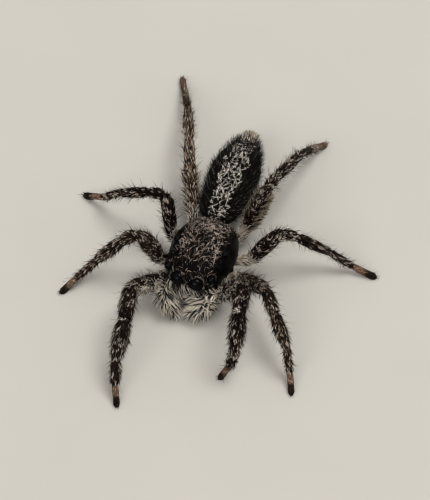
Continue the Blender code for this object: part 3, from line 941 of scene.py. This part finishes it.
def leg_coat(leg):
    """The short hair that lies along a leg, black or brown and tan on the foot, with pale flecks on top."""
    brown = max(0.0, min(1.0, LEG_LIGHTNESS[leg] / 0.30))
    dark = np.array(DARK_HAIR) * (1 - brown) + np.array(BROWN_HAIR) * brown
    light = (112, 92, 78) if brown < 0.5 else TAN_HAIR
    mine, n = face.is_group(leg), 5200
    density = face.by_part({"coxa": 0.6, "tarsus": 1.2, "metatarsus": 1.2})
    w = scatter(n, mine * density * (1 - 0.75 * leg_base(face)))
    tone = mixed_tone(n, 0.04 + 0.20 * leg_pale(w) + 0.22 * brown, dark, light, 0.3)
    foot_share = np.where(w.is_group(*FRONT_LEGS), 0.60, 0.80)
    foot = mixed_tone(n, foot_share, BROWN_HAIR, (206, 174, 146), 0.25)
    tone = np.where(w.is_part("tarsus")[:, None], foot, tone)
    olive = mixed_tone(n, 0.72, (70, 62, 50), (168, 156, 134), 0.25)
    tone = np.where(rng.random(n)[:, None] < olive_end(w)[:, None], olive, tone)
    slim = w.by_part({"metatarsus": 0.85, "tarsus": 0.6})
    strands(
        f"coat_{leg}", w, w.along, tone * (1 - 0.86 * black_foot(w)[:, None]), "hair", COAT, 0.55,
        length=(0.15, 0.27, slim), width=(0.030, 0.046), flat=0.5, rise=(8, 24), bend=(5, 30), curl=30,
    )
    n = 950
    thin = face.by_part({"femur": 1.15, "tibia": 0.85, "metatarsus": 0.7, "tarsus": 0.0})
    w = scatter(n, mine * leg_pale(face) ** 1.8 * thin)
    bright = (0.50 + 0.50 * rng.random(n)) ** 1.8
    colour = np.array(PALE_HAIR) * (1 - brown) + np.array((226, 208, 188)) * brown
    rise = drawn(n, (48, 66))
    strands(
        f"flecks_{leg}", w, w.along, linear(colour) * bright[:, None], "scale", SCALES, 0.35,
        length=(0.13, 0.25), width=(0.030, 0.042), flat=0.35, rise=rise, bend=rise + drawn(n, (5, 22)), curl=45,
    )


def foot_tufts():
    """The dense brush at the end of each foot, black but for the olive ones of the last pair."""
    n = 2600
    w = scatter(n, face.is_part("tarsus") * step(face.t, 0.58, 0.75))
    black = mixed_tone(n, 0.12, (18, 14, 11), (104, 90, 78), 0.3)
    olive = mixed_tone(n, 0.70, (60, 53, 43), (158, 146, 126), 0.25)
    tone = np.where(w.is_group(*HIND_LEGS)[:, None], olive, black)
    strands(
        "tufts_feet", w, w.along + 0.4 * w.normals, tone, "hair", COAT,
        length=(0.09, 0.16), width=(0.022, 0.032), flat=0.8, rise=(12, 36), bend=(5, 35), curl=20,
    )


def joint_rings():
    """The narrow white rings at the far end of the front legs' patellae."""
    joint = (1 - face.t) * face.length
    mine = face.is_group(*FRONT_LEGS) & face.is_part("patella") & (joint < 0.035)
    w = scatter(60, mine * (1 - step(face.from_top, 0.9, 1.4)))
    strands(
        "rings_front_knees", w, np.cross(w.along, w.normals), (0.9, DARK_HAIR, WHITE_HAIR, 0.1),
        "scale", SCALES, 0.8,
        length=(0.12, 0.18), width=(0.034, 0.044), flat=0.35, rise=(18, 26), bend=(26, 36), curl=10,
    )


def leg_bristles():
    """Hairs that stand out: fine ones all round, spines below, a brush on the front pairs and a few long ones."""
    w = scatter(2600, (face.part >= PART["femur"]) * np.where(face.is_part("tarsus"), 0.3, 1.0))
    slim = np.where(w.is_part("metatarsus", "tarsus"), 0.8, 1.0)
    strands(
        "hairs_legs_fine", w, w.along, (0.18, DARK_HAIR, (140, 128, 116), 0.3), "fine", BRISTLE,
        length=(0.26, 0.60, slim), width=(0.013, 0.018), flat=1.0, rise=(42, 74), bend=(0, 35), curl=20,
    )
    below = step(face.from_top, 0.9, 1.5) * np.where(face.is_group(*FRONT_LEGS), 1.0, 0.4)
    w = scatter(850, face.is_part("tibia", "metatarsus") * below)
    strands(
        "spines_legs", w, w.along, (0.04, BLACK_HAIR, (120, 108, 98), 0.3), "fine", BRISTLE,
        length=(0.22, 0.36), width=(0.022, 0.032), flat=1.0, rise=(30, 50), bend=(0, 20), curl=15,
    )
    front = face.is_group(*FRONT_LEGS) + 0.4 * face.is_group("leg_2_right", "leg_2_left")
    sides = step(face.from_top, 0.5, 1.0)
    w = scatter(1300, front * sides * face.is_part("patella", "tibia", "metatarsus"))
    strands(
        "brush_front_legs", w, w.along, (0.14, DARK_HAIR, (150, 132, 114), 0.3), "hair", COAT,
        length=(0.20, 0.34), width=(0.028, 0.040), flat=0.8, rise=(26, 48), bend=(0, 25), curl=15,
    )
    above = 1 - step(face.from_top, 0.8, 1.6)
    w = scatter(150, face.is_part("femur", "patella") * above)
    strands(
        "hairs_legs_long", w, w.along, (0.0, BLACK_HAIR, (60, 50, 44), 0.3), "bristle", BRISTLE,
        length=(0.44, 0.68), width=(0.020, 0.027), flat=1.0, rise=(55, 75), bend=(15, 55), curl=25,
    )


def leg_fringes():
    """Longer pale hair: in front of the first femora, along the last ones and where the legs leave the body."""
    femur, coxa, t = face.is_part("femur"), face.is_part("coxa"), face.t
    right = face.is_group("leg_1_right") * bump(face.angle, 1.7, 1.5) * (1 - step(t, 0.75, 0.95))
    left = face.is_group("leg_1_left") * bump(face.angle, -1.7, 1.3) * (1 - 0.6 * step(t, 0.45, 0.65))
    front_coxae = coxa & face.is_group(*FRONT_LEGS)
    w = scatter(800, femur * (right + left) + 0.8 * front_coxae * step(face.up, 0.0, 0.5))
    share = np.where(w.is_group("leg_1_right"), 0.54, 0.42)
    strands(
        "fringe_front_femora", w, w.along, (share, DARK_HAIR, CREAM_HAIR, 0.08), "fine", COAT,
        length=(0.30, 0.54), width=(0.048, 0.066), flat=0.6, rise=(20, 48), bend=(0, 35), curl=45,
    )
    back = face.is_group("leg_4_left") + 0.15 * face.is_group("leg_4_right")
    back = back * femur * (1 - step(t, 0.75, 0.98))
    w = scatter(1500, back * (0.06 + step(face.from_top, 0.8, 1.4)))
    inner = step(w.angle * np.where(w.is_group("leg_4_left"), 1, -1), 0.5, 1.2)
    tone = clumped_tone(w, 0.36 - 0.20 * inner, (14, 10, 8), (190, 170, 148))
    strands(
        "fringe_hind_femora", w, w.along, tone, "fine", COAT,
        length=(0.28, 0.50), width=(0.024, 0.034), flat=0.8, rise=(24, 56), bend=(0, 35), curl=40,
    )
    w = scatter(1500, femur * (1 - step(t, 0.12, 0.28)) + coxa * step(t, 0.45, 0.7))
    tone = clumped_tone(w, 0.62 + 0.2 * leg_base(w), (34, 26, 20), WHITE_HAIR)
    strands(
        "fringe_leg_bases", w, w.along, tone, "fine", SCALES,
        length=(0.22, 0.40), width=(0.028, 0.042), flat=0.7, rise=(15, 50), bend=(0, 35), curl=45,
    )


def along_line(w, across):
    """The way along a line of the net, always towards the rear."""
    way = np.cross(w.normals, across)
    return way * np.where(way[:, 1] < 0, -1, 1)[:, None]


def abdomen_coat():
    """Black velvet, the net of pale scales on the band, and fine hairs that stand out all round."""
    mine = face.is_part("abdomen")
    w = scatter(12500, mine)
    low, inside = step(w.from_top, 1.75, 2.3), inside_band(w)
    pale = np.maximum(low * abdomen_pale(w), np.where(inside > 0, 0.06, 0.03))
    flatter = 1 - 0.45 * step(inside, -0.05, 0.05) * (1 - low)
    lift = 16 * step(w.from_top, 0.9, 1.5)
    strands(
        "coat_abdomen", w, w.along, (pale, BLACK_HAIR, (120, 110, 101), 0.3), "hair", COAT, 0.6,
        length=(0.14, 0.26, flatter), width=(0.034, 0.050), flat=0.45,
        rise=(8 * flatter + lift, 24 * flatter + lift), bend=(5, 25), curl=30,
    )
    tries = 30000
    w = scatter(tries, mine * step(inside_band(face), -0.05, 0.02))
    gap, across = band_net(w)
    inside = inside_band(w)
    tail = step(w.y, 5.6, 6.4)
    worn = patches(w, 0.32, 16, 0.30, 0.55)
    chance = 0.58 * (0.40 + 0.60 * worn) * (1 - 0.94 * tail * (1 - tail_patches(w))) * (1 - 0.42 * tail)
    line = (gap < 0.008) & (inside > 0.0) & (rng.random(tries) < chance)
    edge = (np.abs(inside - 0.03) < 0.012) & (rng.random(tries) < 0.20 * (1 - tail))
    chosen = line | edge
    w, across, edge, tail = w.take(chosen), across[chosen], edge[chosen], tail[chosen]
    n = len(w.points)
    front = 1 - step(w.y, 2.0, 2.9)
    bright = np.where(edge, 1.0, 0.96) - 0.04 * tail - 0.06 * front + 0.40 * (rng.random(n) - 0.5)
    tone = linear(WHITE_HAIR) * (np.clip(bright, 0, 1) ** 1.8)[:, None]
    rise = drawn(n, (30, 46))
    strands(
        "scales_abdomen", w, along_line(w, across), tone, "scale", SCALES, 0.55,
        length=(0.13, 0.22), width=(0.025, 0.035), flat=0.35, rise=rise, bend=(rise + 5, rise + 20), curl=30,
    )
    rear = step(face.y, 6.0, 6.8)
    open_place = rear * (1 - step(np.abs(face.across), 0.30, 0.42))
    w = scatter(3400, mine * (1.0 + 2.0 * rear) * (1 - 0.8 * open_place))
    longer = 1 + 0.3 * step(w.y, 5.0, 6.5)
    strands(
        "hairs_abdomen_fine", w, w.along, (0.10, BLACK_HAIR, (120, 112, 104), 0.3), "fine", BRISTLE,
        length=(0.24, 0.46, longer), width=(0.014, 0.019), flat=1.0, rise=(40, 72), bend=(0, 40), curl=25,
    )


def carapace_coat():
    """Pale curved scales in patches on a black shield, with short dark hair between them."""
    mine = face.is_part("carapace")
    tries = 6300
    w = scatter(tries, mine * carapace_pale(face) ** 1.1)
    gap, across = net(w.points, 0.19, 51)
    chosen = (gap < 0.016) & (rng.random(tries) < 0.33)
    w, across = w.take(chosen), across[chosen]
    rear = 0.12 * step(w.y, -0.3, 0.6)
    bright = 0.62 + rear + 0.26 * carapace_pale(w) + 0.66 * (rng.random(len(w.points)) - 0.5)
    tone = linear((238, 218, 202)) * (np.clip(bright, 0.2, 1.0) ** 1.8)[:, None]
    strands(
        "scales_carapace", w, along_line(w, across), tone, "scale", SCALES, 0.4,
        length=(0.14, 0.30), width=(0.019, 0.028), flat=0.35, rise=(26, 46), bend=(30, 60), curl=80,
    )
    local = turned(face.points, back=True)
    top = step(face.up, 0.3, 0.7) * (1 - step(np.abs(local[:, 0]), 1.05, 1.25))
    w = scatter(3200, mine * (0.05 + top))
    strands(
        "hairs_carapace", w, w.along, (0.10, BLACK_HAIR, (104, 90, 80), 0.3), "hair", COAT,
        length=(0.12, 0.24), width=(0.018, 0.026), flat=0.8, rise=(15, 50), bend=(0, 40), curl=50,
    )


# White hooked tufts on top of the palps: where they grow, which way they curl and how they set out.
PALP_HOOKS = (
    ((-1.14, -2.16, 1.17), 1, (-0.6, 0.6, 0.0)), ((1.33, -1.68, 1.12), -1, (0.3, 0.9, 0.0)),
    ((1.23, -2.34, 1.27), 1, (0.5, -0.6, 0.0)),
)
HOOK_HAIRS = 9
PALPS_MIDDLE = 0.05


def palp_coat():
    """Long pale bristles that spread forwards, down, inwards and outwards from the palps, and the hooks."""
    mine, ahead, above = face.is_part("palp"), -face.y, step(face.up, 0.0, 0.4)
    w = scatter(2400, mine)
    tone = clumped_tone(w, 0.09, (10, 8, 6), (226, 214, 196))
    strands(
        "coat_palps", w, w.along, tone, "fine", COAT, 0.5,
        length=(0.20, 0.36), width=(0.026, 0.038), flat=0.7, rise=(18, 42), bend=(0, 30), curl=25,
    )
    jaws = face.is_part("chelicera") * step(face.z, 0.70, 0.85)
    w = scatter(150, mine * (above * step(ahead, 1.5, 1.9)) + 2.2 * jaws * step(ahead, 1.8, 2.1))
    inwards = np.where(w.points[:, :1] > PALPS_MIDDLE, (-1.0, -0.8, 0.15), (1.4, -0.6, 0.0))
    strands(
        "streaks_palps", w, 0.3 * w.along + inwards, (0.68, UMBER_HAIR, CREAM_HAIR, 0.05),
        "bristle", SCALES, 0.85,
        length=(0.50, 0.85), width=(0.074, 0.098), flat=0.5, rise=(30, 50), bend=(20, 45), curl=20,
    )
    w = scatter(560, mine * step(face.z, 0.15, 0.5) * step(ahead, 1.6, 2.2))
    strands(
        "bristles_palps", w, w.along + (0.0, -0.5, -0.5), (0.50, SOOTY_HAIR, CREAM_HAIR, 0.05),
        "bristle", SCALES, 0.35,
        length=(0.44, 0.80), width=(0.066, 0.090), flat=0.8, rise=(34, 66), bend=(5, 45), curl=20,
    )
    w = scatter(340, mine * step(ahead, 2.3, 2.6) * (1 - step(face.up, 0.2, 0.7)))
    strands(
        "hairs_palps_rim", w, w.along + (0.0, -0.4, -0.5), (0.52, (18, 13, 9), CREAM_HAIR, 0.10),
        "fine", SCALES, 0.6,
        length=(0.46, 0.78), width=(0.026, 0.038), flat=0.9, rise=(30, 62), bend=(0, 30), curl=15,
    )
    inner = step(-np.sign(face.x - PALPS_MIDDLE) * face.normals[:, 0], 0.0, 0.5)
    for name, height, heading, rise in (
        ("streaks_between", above, (1.0, -0.60, 0.10), (38, 58)),
        ("bristles_between", 1 - step(face.up, 0.2, 0.6), (0.8, -0.9, -0.35), (24, 50)),
    ):
        w = scatter(120, mine * inner * step(ahead, 1.9, 2.3) * height)
        side = np.where(w.points[:, :1] > PALPS_MIDDLE, (-1.0, 1.0, 1.0), 1.0)
        strands(
            name, w, side * heading, (0.64, SOOTY_HAIR, CREAM_HAIR, 0.05), "bristle", SCALES, 0.8,
            length=(0.52, 0.86), width=(0.072, 0.096), flat=0.6, rise=rise, bend=(0, 30), curl=20,
        )
    outer = step(np.abs(face.x + 0.05), 0.85, 1.05) * step(face.z, 0.5, 0.8)
    femur_start = face.is_part("femur") * face.is_group("leg_1_left") * (1 - step(face.t, 0.28, 0.42))
    sides = mine * outer * step(ahead, 1.5, 1.9)
    w = scatter(210, sides + 1.4 * femur_start * step(face.up, 0.1, 0.5))
    sideways = np.where(w.points[:, :1] > 0, (1.0, -0.35, 0.25), (-1.0, -0.55, 0.15))
    strands(
        "streaks_palp_sides", w, sideways, (0.60, UMBER_HAIR, CREAM_HAIR, 0.05),
        "bristle", SCALES, 0.85,
        length=(0.42, 0.72), width=(0.062, 0.084), flat=0.5, rise=(28, 52), bend=(20, 50), curl=25,
    )
    tops = face.is_part("palp", "femur", "coxa") & (face.up > 0.2)
    for index, (place, way, heading) in enumerate(PALP_HOOKS):
        gap = lengths(face.points - np.array(place))
        w = scatter(HOOK_HAIRS, tops * (gap < gap[tops].min() + 0.06))
        strands(
            f"hook_palp_{index + 1}", w, np.array(heading), (1.0, BROWN_HAIR, CREAM_HAIR, 0.02),
            "hook", SCALES, 0.95, length=(0.72, 0.80), width=(0.056, 0.068), flat=0.6,
            rise=(64, 70), bend=(66, 74), curl=(250 * way, 290 * way),
        )


def face_coat():
    """Pale hair on the clypeus, jaws and cheeks, and rings of thin hair round the front eyes."""
    head, ahead = face.is_part("carapace"), -face.y
    front = head * step(ahead, 1.9, 2.1) * (1 - step(face.z, 1.70, 1.85))
    jaws = face.is_part("chelicera") * step(face.z, 0.7, 1.0) * step(ahead, 1.9, 2.2)
    n = 900
    w = scatter(n, front + 0.9 * jaws)
    down = np.stack([0.6 * w.x + 0.5, np.full(n, -0.35), np.full(n, -0.6)], axis=1)
    tone = clumped_tone(w, 0.10 + 0.26 * step(-w.z, -1.5, -1.1), (10, 8, 6), CREAM_HAIR)
    strands(
        "fringe_face", w, down, tone, "fine", COAT, 0.5,
        length=(0.30, 0.56), width=(0.032, 0.046), flat=0.8, rise=(15, 45), bend=(0, 30), curl=30,
    )
    front_eyes = [spot for spot in EYE_SPOTS if spot[0].startswith("eye_front")]
    near = np.zeros(len(face.points))
    for _, _, centre, radius in front_eyes:
        gap = lengths(face.points - centre) - radius
        near = np.maximum(near, bump(gap, 0.05, 0.09))
    w = scatter(520, head * near)
    centres = np.array([spot[2] for spot in front_eyes])
    closest = np.argmin(np.linalg.norm(w.points[:, None] - centres[None], axis=2), axis=1)
    away = unit(w.points - centres[closest])
    round_eye = np.cross(away, w.normals) + 0.5 * away
    strands(
        "scales_eye_rings", w, round_eye, (0.30, (16, 12, 10), (172, 162, 150), 0.3), "hair", COAT,
        length=(0.12, 0.20), width=(0.016, 0.024), flat=0.8, rise=(15, 40), bend=(0, 30), curl=40,
    )


def under_coat():
    """Short hair on the sternum, the stalk and the jaws, and the fan of hair round the spinnerets."""
    w = scatter(1500, face.is_part("underside", "pedicel") + 0.3 * face.is_part("chelicera"))
    strands(
        "coat_underside", w, w.along, (0.3, (34, 26, 21), (150, 138, 124), 0.25), "hair", COAT,
        length=(0.12, 0.22), width=(0.026, 0.036), flat=0.6, rise=(15, 35), bend=(0, 20), curl=20,
    )
    narrow = 1 - step(np.abs(face.across), 0.30, 0.42)
    end = face.is_part("abdomen") * step(face.y, 6.70, 6.86) * narrow
    n = 2200
    w = scatter(n, face.is_part("spinnerets") + 0.7 * end)
    fan = np.stack([0.35 * (w.across - 0.05), np.ones(n), 0.25 * (w.z - BODY_MIDDLE)], axis=1)
    strands(
        "tuft_spinnerets", w, fan, (0.72, (66, 57, 48), (228, 217, 199), 0.2), "fine", COAT,
        length=(0.20, 0.36), width=(0.024, 0.034), flat=0.8, rise=(14, 40), bend=(10, 30), curl=15,
    )


# The order of these calls is also the order of the random draws.
for leg in LEGS:
    leg_coat(leg)
for grow in (
    foot_tufts, joint_rings, leg_bristles, leg_fringes, abdomen_coat, carapace_coat, palp_coat, face_coat, under_coat,
):
    grow()


# ---- eyes and claws ----

EYE_TONE = (4, 3, 4)
CLAW_TONE = (16, 11, 9)
CLAW_LENGTH = 0.16
CLAW_RADIUS = 0.020
CLAW_SPLAY = 0.06
CLAW_RINGS = 5
CLAW_SIDES = 6


def make_eye(name, side, centre, radius):
    """One shiny lens."""
    mesh = bmesh.new()
    detail = 5 if name == "eye_front_middle" else 4
    bmesh.ops.create_icosphere(mesh, subdivisions=detail, radius=radius, matrix=Matrix.Translation(centre))
    bmesh.ops.translate(mesh, verts=mesh.verts, vec=ORIGIN)
    bmesh.ops.scale(mesh, verts=mesh.verts, vec=(MM, MM, MM))
    data = mesh_data(mesh, f"lens_{name}_{side}")
    data.shade_smooth()
    data.materials.append(EYE)
    set_tone(data, np.tile(linear(EYE_TONE), (len(data.vertices), 1)))
    obj = linked(data.name, data)
    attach(obj, "root")
    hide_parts(f"{name}_{side}")


def make_claws(leg):
    """Two small hooked claws at the end of a foot."""
    heel, tip = JOINTS[leg][-2:]
    ahead = unit(np.array((*(tip - heel)[:2], 0.0)))
    side = np.cross(UP, ahead)
    points, faces = [], []
    for way in (-1, 1):
        base = len(points)
        root = tip + side * way * CLAW_SPLAY - ahead * 0.02 + UP * 0.05
        for t in np.linspace(0, 1, CLAW_RINGS):
            angle = math.radians(20 - 75 * t)
            radius = CLAW_RADIUS * (1 - 0.93 * t)
            hook = ahead * math.sin(1.4 * t) + UP * (0.30 * math.sin(3.0 * t) - 0.45 * t * t)
            centre = root + hook * CLAW_LENGTH
            out = ahead * -math.sin(angle) + UP * math.cos(angle)
            for j in range(CLAW_SIDES):
                turn = 2 * math.pi * j / CLAW_SIDES
                points.append(centre + (side * math.cos(turn) + out * math.sin(turn)) * radius)
        for k in range(CLAW_RINGS - 1):
            for j in range(CLAW_SIDES):
                a, b = base + k * CLAW_SIDES + j, base + k * CLAW_SIDES + (j + 1) % CLAW_SIDES
                faces += [(a, b, b + CLAW_SIDES), (a, b + CLAW_SIDES, a + CLAW_SIDES)]
        last = base + (CLAW_RINGS - 1) * CLAW_SIDES
        for j in range(1, CLAW_SIDES - 1):
            faces.append((base, base + j + 1, base + j))
            faces.append((last, last + j, last + j + 1))
    points = np.array(points)
    points[:, 2] = np.maximum(points[:, 2], 0.005)
    obj = mesh_object(f"claws_{leg}", points, np.array(faces).ravel(), CLAW)
    set_tone(obj.data, np.tile(linear(CLAW_TONE), (len(points), 1)))
    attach(obj, "root")


for spot in EYE_SPOTS:
    make_eye(*spot)
for leg in LEGS:
    make_claws(leg)

set_points(skin.data, (get_points(skin.data) + ORIGIN) * MM)
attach(skin, "root")
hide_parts(*FLESH)


# ---- the scene ----

FLOOR_HALF = 0.6
FLOOR_TONE = (186, 182, 174)
WORLD_TONE = (1.0, 0.985, 0.96, 1.0)
WORLD_STRENGTH = 0.54
# The lights: where each is and how wide, in metres, and its power in watts.
LIGHTS = {"key": ((0.075, 0.085, 0.29), 0.18, 0.62), "fill": ((-0.08, -0.24, 0.22), 0.25, 0.45)}


def make_floor():
    """The sheet of paper under the spider."""
    mesh = bmesh.new()
    bmesh.ops.create_grid(mesh, x_segments=2, y_segments=2, size=FLOOR_HALF)
    data = mesh_data(mesh, "floor")
    m = Nodes("floor_paper", Roughness=0.9, Specular_IOR_Level=0.2)
    m.coloured(linear(FLOOR_TONE), m.ranged(m.noise(6.0, 4.0), 0.3, 0.7, 0.985, 1.015))
    data.materials.append(m.material)
    obj = linked("floor", data)


def make_light(name, place, size, power):
    """A round lamp that points at the spider."""
    data = bpy.data.lights.new(name, "AREA")
    data.shape = "DISK"
    data.size = size
    data.energy = power
    obj = linked(name, data)
    obj.location = Vector(place)
    obj.rotation_mode = "QUATERNION"
    obj.rotation_quaternion = (-Vector(place)).to_track_quat("-Z", "Y")


def make_camera():
    azimuth, elevation = math.radians(CAMERA_AZIMUTH), math.radians(CAMERA_ELEVATION)
    back = Vector((
        math.sin(azimuth) * math.cos(elevation), -math.cos(azimuth) * math.cos(elevation), math.sin(elevation),
    ))
    right = Vector((math.cos(azimuth), math.sin(azimuth), 0.0))
    up = back.cross(right)
    data = bpy.data.cameras.new("camera")
    data.lens = CAMERA_LENS
    data.sensor_width = 36.0
    data.clip_start = 0.001
    data.clip_end = 10.0
    roll = math.radians(CAMERA_ROLL)
    right_rolled = right * math.cos(roll) + up * math.sin(roll)
    up_rolled = up * math.cos(roll) - right * math.sin(roll)
    target = CAMERA_TARGET + Vector(ORIGIN)
    place = target + back * CAMERA_DISTANCE + right_rolled * CAMERA_SLIDE[0] + up_rolled * CAMERA_SLIDE[1]
    turn = Matrix((right_rolled, up_rolled, back)).transposed()
    obj = linked("camera", data)
    obj.matrix_world = Matrix.Translation(place * MM) @ turn.to_4x4()
    bpy.context.scene.camera = obj


def make_world():
    world = bpy.data.worlds.new("studio")
    bpy.context.scene.world = world
    world.use_nodes = True
    background = world.node_tree.nodes["Background"]
    background.inputs["Color"].default_value = WORLD_TONE
    background.inputs["Strength"].default_value = WORLD_STRENGTH


make_floor()
make_world()
for name, light in LIGHTS.items():
    make_light(name, *light)
make_camera()
bpy.context.scene.view_settings.view_transform = "Standard"
bpy.context.scene.cycles.filter_width = 1.0
